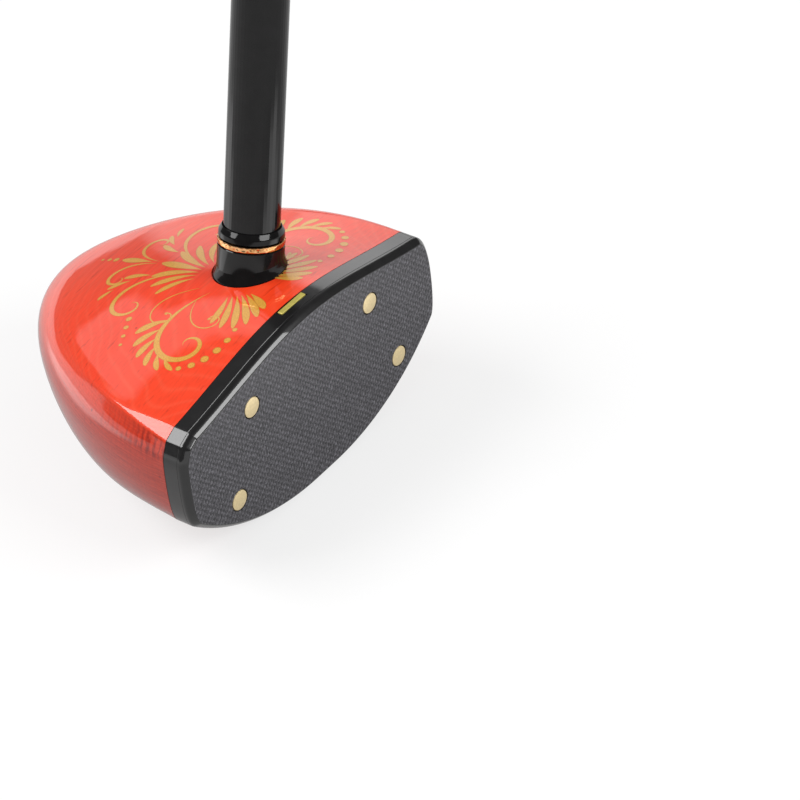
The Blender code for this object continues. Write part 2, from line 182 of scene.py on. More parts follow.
def loft(rings, front=False, back=False, closed=False):
    """Vertices and faces through rings of equal length, with end faces or closed to a loop."""
    count = len(rings[0])
    faces = []
    for row in range(len(rings) if closed else len(rings) - 1):
        here, there = row * count, (row + 1) % len(rings) * count
        for index in range(count):
            after = (index + 1) % count
            faces.append((here + index, here + after, there + after, there + index))
    if front:
        faces.append(tuple(range(count)))
    if back:
        last = (len(rings) - 1) * count
        faces.append(tuple(range(last, last + count)))
    return [point for ring in rings for point in ring], faces


def lofted(name, rings, materials, **ends):
    return mesh_object(name, *loft(rings, **ends), materials)


def revolve(profile, steps=TURNS):
    """Vertices and faces of a closed (radius, height) outline turned round Z."""
    rings = []
    for step in range(steps):
        turn = 2 * pi * step / steps
        rings.append([(r * cos(turn), r * sin(turn), z) for r, z in profile])
    return loft(rings, closed=True)


def turned(name, profile, materials, place, steps=TURNS):
    vertices, faces = revolve(profile, steps)
    return mesh_object(name, [place @ Vector(v) for v in vertices], faces, materials)


def rod(name, radius, start, end, place, steps=TURNS):
    profile = [(0, end), (radius, end), (radius, start), (0, start)]
    return turned(name, profile, [], place, steps)


def carve(target, cutters, crease=35):
    """Cuts the cutters out of the target for good, and removes them."""
    for cutter in cutters:
        modifier = target.modifiers.new("Cut", "BOOLEAN")
        modifier.solver = "EXACT"
        modifier.object = cutter
    graph = bpy.context.evaluated_depsgraph_get()
    cut_mesh = bpy.data.meshes.new_from_object(target.evaluated_get(graph))
    target.modifiers.clear()
    target.data = cut_mesh
    cut_mesh.set_sharp_from_angle(angle=radians(crease))
    for cutter in cutters:
        bpy.data.objects.remove(cutter, do_unlink=True)


def between(pair, share):
    return pair[0] + (pair[1] - pair[0]) * share


def ease(share):
    """A share held between 0 and 1, with a smooth start and end."""
    share = min(1, max(0, share))
    return share * share * (3 - 2 * share)


def spline(points, share):
    """A point on a smooth curve through the given points."""
    spans = len(points) - 1
    place = min(share * spans, spans - 1e-6)
    index = int(place)
    t = place - index
    p0 = points[max(index - 1, 0)]
    p1, p2 = points[index], points[index + 1]
    p3 = points[min(index + 2, spans)]
    return (
        p1 * 2
        + (p2 - p0) * t
        + (p0 * 2 - p1 * 5 + p2 * 4 - p3) * t**2
        + (p1 * 3 - p0 - p2 * 3 + p3) * t**3
    ) * 0.5


# Head form, with the CAD's own formulas at a finer pitch

def crown_height(x, back):
    span = abs(x) / ARCH_HALF_SPAN
    arch = 0.5 * span**2 + 0.25 * (1 - cos(pi * min(span, 1)))
    depth = back / BODY_DEPTH
    arched = TOP_HEIGHT - ARCH_DROP * arch * (1 - ARCH_FADE * depth)
    dip = CROWN_DIP * max(0, 1 - arch) * depth * (1 - depth) ** 4
    return arched - dip - CROWN_FALL * back**2 + CROWN_TILT * x * depth


def sole_height(x, back):
    off_landing = max(0, abs(x) - LANDING_HALF_WIDTH)
    camber = SOLE_RADIUS - sqrt(SOLE_RADIUS**2 - off_landing**2)
    return camber + SOLE_LIFT * max(0, back - SOLE_LIFT_START) ** 2


def plan_point(turn):
    """The head's outline in plan, x and distance behind the face: 0 at the toe, pi at the heel."""
    across = (PLAN_TAPER - HALF_WIDTH) * cos(turn) - PLAN_TAPER * cos(3 * turn)
    return Vector((across + HEEL_SHIFT * sin(turn) ** 2, BODY_DEPTH * sin(turn)))


def plan_normal(turn):
    """The outline's outward normal."""
    across = (HALF_WIDTH - PLAN_TAPER) * sin(turn) + 3 * PLAN_TAPER * sin(3 * turn)
    across += 2 * HEEL_SHIFT * sin(turn) * cos(turn)
    return Vector((-BODY_DEPTH * cos(turn), across)).normalized()


def bezier(ends, control, share):
    return ends[0] * (1 - share) ** 2 + control * 2 * share * (1 - share) + ends[1] * share**2


def along(path, distance):
    """The point at a distance along a polyline, carried on straight past its ends."""
    for index in range(len(path) - 1):
        step = path[index + 1] - path[index]
        if distance <= step.length or index == len(path) - 2:
            return path[index] + step * (distance / step.length)
        distance -= step.length


def softened(path, reach):
    """The polyline with its corners rounded over a reach, at the roll's steps from end to end."""
    length = sum((b - a).length for a, b in zip(path, path[1:]))
    near = EDGE_SHARE * length
    points = []
    for step in range(ROLL_STEPS + 1):
        if step <= EDGE_STEPS:
            distance = near * step / EDGE_STEPS
        else:
            distance = near + (length - near) * (step - EDGE_STEPS) / (ROLL_STEPS - EDGE_STEPS)
        spots = [along(path, distance + reach * index / 8) for index in range(-4, 5)]
        points.append(sum(spots, Vector((0, 0))) / len(spots))
    return points


def shoulder(inset, slope, drop, crisp, facet):
    """Outward and downward points of the roll, from the crown's edge to the widest line.

    crisp runs from 0 for the CAD's own roll to 1 for the edged one, facet from none to full width.
    """
    brow = slope * inset
    smooth = []
    for step in range(CURVE_STEPS + 1):
        share = step / CURVE_STEPS
        smooth.append(Vector((
            inset * (1 - (1 - share) ** 2),
            2 * share * (1 - share) * brow + share**2 * drop,
        )))
    smooth = softened(smooth, 0.00001)
    if crisp == 0:
        return smooth
    tilt = atan2(slope, 1) + BROW_TILT
    start = Vector((cos(tilt), sin(tilt))) * (BROW_SHARE * inset * (1 - facet))
    edge = start + Vector((cos(FACET_TILT), sin(FACET_TILT))) * (FACET_LENGTH * facet)
    tilt = between(WALL_TILT, facet)
    wall = edge + Vector((cos(tilt), sin(tilt))) * WALL_LENGTH
    control = Vector((inset, wall.y + (inset - wall.x) * tan(tilt)))
    foot = Vector((inset, drop))
    path = [Vector((0, 0)), start] if facet < 1 else [Vector((0, 0))]
    if facet > 0:
        path.append(edge)
    for step in range(CURVE_STEPS + 1):
        path.append(bezier((wall, foot), control, step / CURVE_STEPS))
    sharp = softened(path, EDGE_SOFTNESS)
    return [a.lerp(b, crisp) for a, b in zip(smooth, sharp)]


def wall_column(turn):
    """Points from the crown's edge round the shoulder and down to the sole, at a plan turn."""
    spread = sin(turn) ** SPREAD_POWER
    outer, outward = plan_point(turn), plan_normal(turn)
    probe = 0.0005

    def surface(height, inset):
        spot = outer - outward * inset
        return height(spot.x, spot.y)

    facet = max(0, 1 - turn / FACET_TURNS)
    crisp = 1 - ease((turn - EDGE_TURNS[0]) / (EDGE_TURNS[1] - EDGE_TURNS[0]))
    inset = between(SHOULDER_INSET, spread)
    widest = surface(crown_height, inset)
    slope = (surface(crown_height, inset + probe) - widest) / probe
    widest -= slope * inset + between(SHOULDER_DROP, spread)
    inset += FACET_REACH * facet
    edge = surface(crown_height, inset)
    roll_slope = (surface(crown_height, inset + probe) - edge) / probe
    tuck = between(BELLY_INSET, spread)
    hem = surface(sole_height, tuck)
    slope = (hem - surface(sole_height, tuck + probe)) / probe
    knee = min(hem + slope * tuck, widest)

    column = []
    for reach, fall in shoulder(inset, roll_slope, edge - widest, crisp, facet):
        spot = outer - outward * (inset - reach)
        column.append((spot.x, spot.y, edge - fall))
    for step in range(1, BELLY_STEPS + 1):
        share = step / BELLY_STEPS
        spot = outer - outward * tuck * share**2
        column.append((spot.x, spot.y, bezier((widest, hem), knee, share)))
    return column


def surface_row(start, end, height):
    """Points on the crown or the sole, between two columns."""
    row = []
    for step in range(1, CROWN_STEPS):
        spot = Vector(start[:2]).lerp(Vector(end[:2]), step / CROWN_STEPS)
        row.append((spot.x, spot.y, height(spot.x, spot.y)))
    return row


def head_hoop(turn):
    """The head's whole outline across, at the plan turn of its toe side."""
    toe, heel = wall_column(turn), wall_column(pi - turn)
    over = surface_row(toe[0], heel[0], crown_height)
    under = surface_row(heel[-1], toe[-1], sole_height)
    return over + heel + under + toe[::-1]


def crown_along_shaft(x, y):
    """The height along the shaft at which a line parallel to it, (x, y) off, meets the crown."""
    height = TOP_HEIGHT
    for _ in range(8):
        spot = SHAFT_AXIS @ Vector((x, y, height))
        height -= spot.z - crown_height(spot.x, spot.y - JOINT_Y)
    return height


def shaft_ring(radius, height, over_crown):
    """A ring round the shaft, at a height along it or at a height over the crown."""
    ring = []
    for step in range(TURNS):
        turn = 2 * pi * step / TURNS
        x, y = radius * cos(turn), radius * sin(turn)
        base = crown_along_shaft(x, y) if over_crown else 0
        ring.append(SHAFT_AXIS @ Vector((x, y, base + height)))
    return ring


def pocket_cutter():
    """The seat of the ferrule's foot: its floor follows the crown."""
    radius, rise = SLEEVE_SEAT[0] + GAP, SLEEVE_SEAT[1] - GAP
    rings = [shaft_ring(radius * share, rise, True) for share in (0.3, 0.8, 1)]
    rings.append(shaft_ring(radius, BORE_TOP, False))
    return lofted("cutter_foot", rings, [], front=True, back=True)


def pin_spots():
    """Each pin's place, with the matrix that lays +Z along it, from the face to the rear."""
    along_y = Matrix.Rotation(-pi / 2, 4, "X")
    for place, (x, z) in PIN_PLACES.items():
        yield place, Matrix.Translation((x, FACE_Y, z)) @ along_y


def pin_cutters():
    radius, end = PIN_RADIUS + GAP, PIN_LENGTH + GAP
    return [
        rod("cutter_" + place, radius, -OVERRUN, end, spot, PIN_TURNS)
        for place, spot in pin_spots()
    ]


def build_head(wood):
    rings = []
    for index in range(HOOPS + 1):
        points = head_hoop(pi / 2 * index / HOOPS)
        rings.append([(x, JOINT_Y + back, z) for x, back, z in points])
    body = lofted("head_shell", rings, [wood], front=True)
    bore = rod("cutter_shaft", SHAFT_RADIUS + GAP, SHAFT_SINK - GAP, BORE_TOP, SHAFT_AXIS)
    carve(body, pin_cutters() + [bore, pocket_cutter()])
    return body


def inset_outline(outline, reach):
    """The outline moved inwards by reach, square to the line between its neighbours."""
    moved = []
    count = len(outline)
    for index, (x, z) in enumerate(outline):
        before, after = outline[index - 1], outline[(index + 1) % count]
        heading = Vector((after[0] - before[0], after[1] - before[1])).normalized()
        moved.append((x + heading.y * reach, z - heading.x * reach))
    return moved


def layer_rings(sections):
    """Rings of the face's outline at each (y, inset)."""
    outline = [(x, z) for x, _, z in head_hoop(0)]
    rings = []
    for y, reach in sections:
        rings.append([(x, y, z) for x, z in inset_outline(outline, reach)])
    return rings


def build_face_plate(weave, lacquer):
    """The plate: weave on its flat face, lacquer on the chamfer and the sides."""
    sections = []
    steps = 5
    for start, control, end in PLATE_CORNERS:
        for step in range(steps + 1):
            back, reach = (
                bezier((a, c), b, step / steps) for a, b, c in zip(start, control, end)
            )
            sections.append((FACE_Y + back, reach))
    sections.append((FACE_Y + PLATE_THICKNESS + GAP - SEAM, 0))
    rings = layer_rings(sections)
    plate = lofted("face_sheet", rings, [weave, lacquer], front=True, back=True)
    for polygon in plate.data.polygons:
        polygon.material_index = 0 if polygon.normal.y < -0.9995 else 1
    carve(plate, pin_cutters(), 20)
    for polygon in plate.data.polygons:
        polygon.use_smooth = polygon.material_index == 1
    return plate


def build_backing(lacquer):
    """The black layer, with the groove that the sight mark lies in."""
    front = FACE_Y + PLATE_THICKNESS + GAP
    rear = front + BACKING_THICKNESS + GAP - SEAM
    edge = 0.00015
    rings = layer_rings(((front, edge), (front + edge, 0), (rear - edge, 0), (rear, edge)))
    backing = lofted("face_band", rings, [lacquer], front=True, back=True)
    low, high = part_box("sight_mark")
    clear = Vector((GAP, GAP, GAP))
    low, high = low - clear, high + clear
    high.z += OVERRUN
    corners = [
        (x, y, z) for x in (low.x, high.x) for y in (low.y, high.y) for z in (low.z, high.z)
    ]
    sides = [(0, 1, 3, 2), (4, 6, 7, 5), (0, 4, 5, 1), (2, 3, 7, 6), (0, 2, 6, 4), (1, 5, 7, 3)]
    groove = mesh_object("cutter_groove", corners, sides, [])
    carve(backing, pin_cutters() + [groove], 20)
    return backing


def build_pins(brass):
    rim = 0.0003
    profile = [
        (0, 0),
        (PIN_RADIUS - rim, 0),
        (PIN_RADIUS - 0.3 * rim, 0.2 * rim),
        (PIN_RADIUS, rim),
        (PIN_RADIUS, PIN_LENGTH),
        (0, PIN_LENGTH),
    ]
    return {
        place: turned("pin_" + place, profile, [brass], spot, PIN_TURNS)
        for place, spot in pin_spots()
    }


def build_sleeve(resin):
    """The sleeve, whose foot follows the crown."""
    bore = SHAFT_RADIUS + GAP
    edge = 0.0002
    rings = [
        shaft_ring(bore, SLEEVE_END, False),
        shaft_ring(SLEEVE_RADIUS - edge, SLEEVE_END, False),
        shaft_ring(SLEEVE_RADIUS, SLEEVE_END - edge, False),
    ]
    path = [Vector(point) for point in FOOT_LIP]
    for step in range(CURVE_STEPS + 1):
        spot = spline(path, step / CURVE_STEPS)
        rings.append(shaft_ring(spot.x, spot.y, True))
    rings.append(shaft_ring(bore, SLEEVE_SEAT[1], True))
    return lofted("ferrule_barrel", rings, [resin], closed=True)


def build_trim_ring(trim):
    """The metal ring: a band with rounded edges."""
    bore = SHAFT_RADIUS + GAP
    start = SLEEVE_END + GAP
    radius = SLEEVE_RADIUS + 0.0001
    edge = 0.0003
    rings = [shaft_ring(bore, start + RING_LENGTH, False)]
    steps = 12
    for step in range(steps + 1):
        share = step / steps
        rim = max(0, edge - min(share, 1 - share) * RING_LENGTH)
        reach = radius - edge + sqrt(edge**2 - rim**2)
        rings.append(shaft_ring(reach, start + RING_LENGTH * (1 - share), False))
    rings.append(shaft_ring(bore, start, False))
    return lofted("ferrule_band", rings, [trim], closed=True)


def build_collar(resin):
    """The upper ring, its bevel and edges softened."""
    bore = SHAFT_RADIUS + GAP
    start = SLEEVE_END + RING_LENGTH + 2 * GAP
    end = start + COLLAR_LENGTH
    inwards, down = COLLAR_BEVEL
    soft = 0.0001
    collar = [
        (COLLAR_RADIUS - inwards - soft, end),
        (COLLAR_RADIUS - inwards + 0.4 * soft, end - 0.6 * soft),
        (COLLAR_RADIUS - 1.2 * soft, end - down + 1.2 * soft),
        (COLLAR_RADIUS - 0.3 * soft, end - down - 0.6 * soft),
        (COLLAR_RADIUS, end - down - 3 * soft),
        (COLLAR_RADIUS + soft, start + 2 * soft),
        (COLLAR_RADIUS - soft, start),
        (bore, start),
        (bore, end),
    ]
    return turned("ferrule_lip", collar, [resin], SHAFT_AXIS)


# Grip

RIB_PITCH = 0.00375
RIB_HEIGHT = 0.00055
RIB_WAVE = 0.0072
RIB_SWING = 0.0008
RIB_START = 0.0012
RIB_ENDS = (0.0015, 0.003)
RIB_FADE = radians(9)
RINGS_PER_RIB = 7
GRIP_TURNS = 132
# The lines along the flat strip's edges and across it, and the rubber's tones without ribs
STRIP_LINE = radians(1.6)
STRIP_MARK_PITCH = 0.0113
LINE_TONE = 0.2
STRIP_TONE = 0.62
BARE_TONE = 0.7


def flat_side(shift):
    """A shift across the grip, away from its flat strip, as in the CAD."""
    return Vector((-sin(FLAT_TURN), cos(FLAT_TURN), 0)) * shift


def grip_base(distance):
    """Radius and shift of the grip at a distance from its top, without ribs."""
    swell = ease((PALM_SWELL_END - distance) / PALM_SWELL_RUN)
    flare = max(0, 1 - distance / GRIP_FLARE_LENGTH) ** 3
    return GRIP_RADIUS + PALM_SWELL * swell + GRIP_FLARE * flare, GRIP_SHIFT * flare


def rib_relief(turn, distance, length):
    """Rows of wavy ribs round the grip, left out on the flat strip and at both ends.

    Gives the height and the tone, from 0 in the grooves, painted in shade, to 1 on the ridges,
    painted with a highlight.
    """
    off_flat = abs((turn + pi) % (2 * pi) - pi) - FLAT_HALF_ANGLE
    side = ease(off_flat / RIB_FADE)
    ends = ease((distance - RIB_START) / RIB_ENDS[0]) * ease((length - distance) / RIB_ENDS[1])
    across = turn * GRIP_RADIUS / RIB_WAVE * 2 * pi
    phase = (distance + RIB_SWING * cos(across)) / RIB_PITCH
    ridge = 0.5 + 0.5 * cos(2 * pi * phase)
    # Painted highlight on each ridge and painted shade in each groove
    tone = STRIP_TONE + (ridge**1.4 - STRIP_TONE) * side
    marked = distance % STRIP_MARK_PITCH < RIB_PITCH / RINGS_PER_RIB
    if abs(off_flat) < STRIP_LINE or off_flat < 0 and marked:
        tone = LINE_TONE
    height = RIB_HEIGHT * (ridge**0.8 - 0.75) * side * ends
    return height, tone * ease(distance / RIB_ENDS[0])


def build_grip(rubber):
    """The grip: ribbed sections, a plain collar at its lower end and the bore."""
    top = CLUB_LENGTH - CAP_HEIGHT - GAP
    bottom = CLUB_LENGTH - GRIP_LENGTH
    bore = SHAFT_RADIUS + TAPE_THICKNESS + 2 * GAP
    length = top - bottom - GRIP_COLLAR_LENGTH
    rows = int(length / RIB_PITCH * RINGS_PER_RIB)
    sections = []
    for row in range(rows + 1):
        distance = length * row / rows
        sections.append((distance, *grip_base(distance), True))
    collar = (
        (0.0008, GRIP_COLLAR_RADIUS + 0.0001),
        (0.0014, GRIP_COLLAR_RADIUS),
        (GRIP_COLLAR_LENGTH - 0.003, GRIP_COLLAR_RADIUS),
        (GRIP_COLLAR_LENGTH - 0.0008, GRIP_COLLAR_RADIUS + 0.0002),
        (GRIP_COLLAR_LENGTH - 0.0002, GRIP_COLLAR_RADIUS + 0.0001),
        (GRIP_COLLAR_LENGTH, GRIP_COLLAR_RADIUS - 0.0002),
        (GRIP_COLLAR_LENGTH, bore),
        (-length, bore),
    )
    sections += [(length + reach, radius, 0, False) for reach, radius in collar]
    rings, tones = [], []
    for distance, radius, shift, ribbed in sections:
        centre = flat_side(shift)
        centre.z = top - distance
        ring = []
        for step in range(GRIP_TURNS):
            turn = 2 * pi * step / GRIP_TURNS
            off_flat = min(turn, 2 * pi - turn)
            reach, tone = radius, BARE_TONE
            if ribbed:
                if off_flat < FLAT_HALF_ANGLE:
                    reach *= cos(FLAT_HALF_ANGLE) / cos(off_flat)
                height, tone = rib_relief(turn, distance, length)
                reach += height
            tones.append(tone)
            spot = Vector((sin(turn + FLAT_TURN), -cos(turn + FLAT_TURN), 0)) * reach
            ring.append(SHAFT_AXIS @ (centre + spot))
        rings.append(ring)
    return mesh_object("grip_sleeve", *loft(rings, closed=True), [rubber], 50, tones)


def build_cap(red):
    """The domed cap, centred on the flared end, and its spigot inside the shaft."""
    top, under = CLUB_LENGTH - 2 * SEAM, CLUB_LENGTH - CAP_HEIGHT
    edge = CAP_EDGE_RADIUS
    middle = Vector((CAP_RADII[0] - edge, top - CAP_DOME - edge))
    # The dome meets the rounded edge where that has turned to this many degrees
    steep = 80
    reach = edge * cos(radians(steep)) + middle.x
    fall = edge * (1 - sin(radians(steep))) + CAP_DOME
    profile = [(reach * step / 10, top - fall * (step / 10) ** 2) for step in range(10)]
    for degree in range(steep, -1, -10):
        turn = radians(degree)
        profile.append((middle.x + edge * cos(turn), middle.y + edge * sin(turn)))
    profile += [
        (CAP_RADII[1], under + 0.0009),
        (CAP_RADII[1] - 0.0001, under + 0.0004),
        (CAP_RADII[1] - 0.0004, under + 0.0001),
        (CAP_RADII[1] - 0.0009, under),
        (0, under),
    ]
    vertices, faces = revolve(profile)
    vertices = [Vector(v) + flat_side(GRIP_SHIFT) for v in vertices]
    tip, root = under - SPIGOT_LENGTH, under + 0.002
    more, sides = revolve([(0, root), (SPIGOT_RADIUS, root), (SPIGOT_RADIUS, tip), (0, tip)])
    faces += [tuple(len(vertices) + index for index in face) for face in sides]
    vertices += [Vector(v) for v in more]
    return mesh_object("end_cap", [SHAFT_AXIS @ v for v in vertices], faces, [red])


# Ornament on the crown: strokes and dots of gold ink, drawn in plan in millimetres

MM = 0.001
ORNAMENT_MIDDLE = (0.0045, 0.0007)
INK_RISE = 0.00003
INK_STEP = 0.0000003
INK_SINK = 0.00006
INK_RIM = 0.2
STROKE_STEPS = 44
DOT_TURNS = 28


def plume(full):
    """Width of a teardrop: a fine root, the belly past the middle and a round tip."""
    return lambda share: full * sin(pi * share**1.7) ** 0.6


def comma(full):
    """Width of a stem: fine at both ends and full in the middle."""
    return lambda share: full * sin(pi * share**0.8) ** 1.2


def hair(thin, bud):
    """Width of a tendril: an even thin line that ends in a round bud."""
    def width(share):
        line = thin * min(1, 4 * share + 0.3)
        swell = (share - 0.955) / 0.045
        return max(line if share < 0.96 else 0, bud * sqrt(max(0, 1 - swell**2)))
    return width


def leaf(root, heading, length, bend, full):
    """A teardrop from root, its heading in degrees from +X; bend turns it on the way."""
    points = [Vector(root)]
    for step in range(8):
        angle = radians(heading + bend * (step + 0.5) / 8)
        points.append(points[-1] + Vector((cos(angle), sin(angle))) * (length / 8))
    return points, plume(full)


def curl(root, heading, length, sweep, width):
    """A scroll that leaves root at heading and winds through sweep, ever tighter, in degrees."""
    points = [Vector(root)]
    steps = 40
    for step in range(steps):
        share = (step + 0.5) / steps
        angle = radians(heading + sweep * share**1.7)
        reach = length / steps * 1.7 * (1 - 0.82 * share)
        points.append(points[-1] + Vector((cos(angle), sin(angle))) * reach)
    return points, width


def ornament_strokes():
    """Half of the ornament in millimetres, across and back from its middle, with widths."""
    # Palmette behind the ferrule
    yield leaf((0, 12.5), 90, 15, 0, 3.1)
    yield leaf((1.4, 12.5), 80, 14.5, -24, 2.6)
    yield leaf((2.8, 12.2), 68, 13.5, -34, 2.3)
    yield leaf((4.4, 11.6), 56, 12.0, -40, 2.0)

    # Main scroll towards the end of the head, with feathers along its outside
    stem = curl((8.5, 2.5), 24, 52, -450, comma(1.9))
    yield stem
    for index in range(6):
        spot = stem[0][7 + 2 * index]
        ahead = stem[0][8 + 2 * index] - spot
        heading = degrees(atan2(ahead.y, ahead.x))
        size = 1 - 0.075 * index
        yield leaf(spot, heading + 62 - 3 * index, 10.0 * size, -38, 2.5 * size)

    # Fan in front of the ferrule, and the tendrils beside it
    for index in range(6):
        share = index / 5
        root = (4.6 + 3.8 * share, -9.0 + 5.2 * share)
        length = 9.0 + 5.5 * sin(pi * share * 0.85)
        yield leaf(root, -72 + 50 * share, length, 18, 2.5 - 0.5 * share)
    yield curl((13.0, 4.0), -18, 25, -410, hair(0.40, 1.2))
    yield curl((8.0, 7.0), 52, 30, -400, hair(0.40, 1.2))

    # Small scrolls towards the back
    yield curl((2.6, 16.0), 66, 42, -400, comma(1.4))
    yield leaf((6.3, 26.5), 84, 8.5, -26, 2.0)
    yield leaf((9.9, 31.2), 62, 7.0, -30, 1.7)
    yield leaf((14.4, 33.9), 38, 5.5, -34, 1.4)
    yield curl((0.5, 29.0), 82, 26, -390, comma(1.2))
    yield leaf((0, 31.5), 90, 11.5, 0, 2.6)


def ornament_dots():
    """Middle and radius of each dot, in the same half and units."""
    for index in range(6):
        angle = radians(-24 - 17 * index)
        size = 0.66 + 0.58 * sin(pi * (index + 0.6) / 6)
        yield (23.8 + 14.4 * cos(angle), -4.2 + 11.2 * sin(angle)), size
    for index in range(4):
        yield (25.0 + 3.2 * index, 19.0 - 1.6 * index), 0.95 - 0.13 * index
    for index in range(3):
        yield (0.0, 45.5 + 2.7 * index), 1.0 - 0.22 * index


def ink_point(across, back, height):
    """A plan point of the ornament, set on the crown."""
    x = ORNAMENT_MIDDLE[0] + across * MM
    y = ORNAMENT_MIDDLE[1] + back * MM
    return (x, y, crown_height(x, y - JOINT_Y) + height)


def ink_stroke(points, width, side, rise):
    """A flat closed ribbon on the crown, its width a function of the share along it."""
    offsets = (-1, -1 + INK_RIM, 0, 1 - INK_RIM, 1)
    columns, row = len(offsets) - 1, len(offsets)
    path = [spline(points, step / STROKE_STEPS) for step in range(STROKE_STEPS + 1)]
    top, under = [], []
    for step, spot in enumerate(path):
        ahead = path[min(step + 1, STROKE_STEPS)] - path[max(step - 1, 0)]
        across = Vector((-ahead.y, ahead.x)).normalized()
        half = max(width(step / STROKE_STEPS), 0.04) / 2
        for offset in offsets:
            place = spot + across * half * offset
            top.append(ink_point(side * place.x, place.y, rise))
            under.append(ink_point(side * place.x, place.y, -INK_SINK))
    count = len(top)
    faces = []
    for step in range(STROKE_STEPS):
        for column in range(columns):
            a = step * row + column
            quad = (a, a + 1, a + row + 1, a + row)
            faces.append(quad)
            faces.append(tuple(count + index for index in reversed(quad)))
        for edge in (0, columns):
            a = step * row + edge
            faces.append((a, a + row, count + a + row, count + a))
    for step in (0, STROKE_STEPS):
        for column in range(columns):
            a = step * row + column
            faces.append((a, count + a, count + a + 1, a + 1))
    body = [0.0 if offset in (-1, 1) else 1.0 for offset in offsets] * (2 * len(path))
    return top + under, faces, body


def ink_dot(middle, size, side, rise):
    """A flat closed disc on the crown."""
    across, back = side * middle[0], middle[1]
    vertices = [ink_point(across, back, rise), ink_point(across, back, -INK_SINK)]
    faces = []
    body = [1.0, 1.0]
    for step in range(DOT_TURNS):
        turn = 2 * pi * step / DOT_TURNS
        for reach, height in ((1 - INK_RIM, rise), (1, rise), (1, -INK_SINK)):
            place = (across + size * reach * cos(turn), back + size * reach * sin(turn))
            vertices.append(ink_point(*place, height))
        body += [1.0, 0.0, 0.0]
        a, b = 2 + 3 * step, 2 + 3 * ((step + 1) % DOT_TURNS)
        faces += [(0, a, b), (a, a + 1, b + 1, b), (a + 1, a + 2, b + 2, b + 1), (1, b + 2, a + 2)]
    return vertices, faces, body


def build_ornament(ink):
    """All strokes and dots as one mesh, each a hair above the one before where they cross.

    Its body value is 1 inside a shape and 0 at the rim.
    """
    vertices, faces, body = [], [], []
    rise = INK_RISE
    shapes = [(ink_stroke, *stroke) for stroke in ornament_strokes()]
    shapes += [(ink_dot, *dot) for dot in ornament_dots()]
    for draw, place, size in shapes:
        for side in (1, -1):
            rise += INK_STEP
            more, sides, inner = draw(place, size, side, rise)
            faces += [tuple(len(vertices) + index for index in face) for face in sides]
            vertices += more
            body += inner
    return mesh_object("crown_ornament", vertices, faces, [ink], 30, body)


# Materials

class Nodes:
    """A node tree, with short names for adding and wiring its nodes."""

    def __init__(self, tree, place):
        self.tree = tree
        self.place = self.node("TexCoord").outputs[place]

    def put(self, socket, value):
        if isinstance(value, bpy.types.NodeSocket):
            self.tree.links.new(value, socket)
        else:
            socket.default_value = value

    def node(self, kind, inputs=None, **settings):
        """A new node, with sockets or values for its inputs, by name or number."""
        made = self.tree.nodes.new("ShaderNode" + kind)
        for key, value in settings.items():
            setattr(made, key, value)
        for key, value in (inputs or {}).items():
            self.put(made.inputs[key], value)
        return made

    def math(self, operation, first, second=0.0):
        return self.node("Math", {0: first, 1: second}, operation=operation).outputs[0]

    def add(self, total, *values):
        for value in values:
            total = self.math("ADD", total, value)
        return total

    def times(self, product, *values):
        for value in values:
            product = self.math("MULTIPLY", product, value)
        return product

    def axes(self, vector=None):
        return self.node("SeparateXYZ", {0: vector or self.place}).outputs

    def noise(self, scale, detail=2.0, roughness=0.5):
        """Noise between 0 and 1, its scale per metre: one number, or one for each axis."""
        place = self.place
        if isinstance(scale, tuple):
            place = self.node("VectorMath", {0: place, 1: scale}, operation="MULTIPLY").outputs[0]
            scale = 1.0
        inputs = {"Vector": place, "Scale": scale, "Detail": detail, "Roughness": roughness}
        return self.node("TexNoise", inputs).outputs["Fac"]

    def cells(self, feature, scale):
        """Distance from the middle of random cells, their scale per metre."""
        inputs = {"Vector": self.place, "Scale": scale}
        return self.node("TexVoronoi", inputs, feature=feature).outputs["Distance"]

    def fade(self, value, start, end, first=0.0, last=1.0, kind="SMOOTHSTEP"):
        """Goes from first to last while the value goes from start to end."""
        inputs = {0: value, 1: start, 2: end, 3: first, 4: last}
        return self.node("MapRange", inputs, interpolation_type=kind).outputs[0]

    def ramp(self, value, *stops):
        """A colour ramp through (place, colour) stops; one number is a grey."""
        made = self.node("ValToRGB", {0: value})
        elements = made.color_ramp.elements
        while len(elements) < len(stops):
            elements.new(1.0)
        for element, (place, colour) in zip(elements, stops):
            red, green, blue = colour if isinstance(colour, tuple) else (colour,) * 3
            element.position = place
            element.color = (red, green, blue, 1.0)
        return made.outputs[0]

    def mix(self, share, first, second, blend="MIX"):
        first, second = (
            (*value, 1.0) if isinstance(value, tuple) else value for value in (first, second)
        )
        inputs = {0: share, 6: first, 7: second}
        return self.node("Mix", inputs, data_type="RGBA", blend_type=blend).outputs[2]

    def tint(self, colour, by, share=1.0):
        """The colour multiplied by another, as far as the share says."""
        return self.mix(share, colour, by, "MULTIPLY")

    def bump(self, height, distance, strength=1.0):
        inputs = {"Height": height, "Distance": distance, "Strength": strength}
        return self.node("Bump", inputs).outputs[0]

    def mirrored(self):
        """1 for the rays by which other things mirror this or show it through them."""
        path = self.node("LightPath").outputs
        return self.math("MAXIMUM", path["Is Glossy Ray"], path["Is Transmission Ray"])

    def seen(self):
        """1 for the camera's own rays."""
        return self.node("LightPath").outputs["Is Camera Ray"]


class Shader(Nodes):
    """The node tree of a new material."""

    def __init__(self, name):
        self.material = bpy.data.materials.new(name)
        self.material.use_nodes = True
        super().__init__(self.material.node_tree, "Object")

    def set(self, **values):
        """Sets Principled inputs, named with underscores for spaces, and gives the material."""
        for key, value in values.items():
            self.put(self.tree.nodes["Principled BSDF"].inputs[key.replace("_", " ")], value)
        return self.material


# Pitch of the wood's rings and stripes and of the weave
GROWTH_PITCH = 0.0008
FLAME_PITCH = 0.0021
WEAVE_PITCH = 0.00102


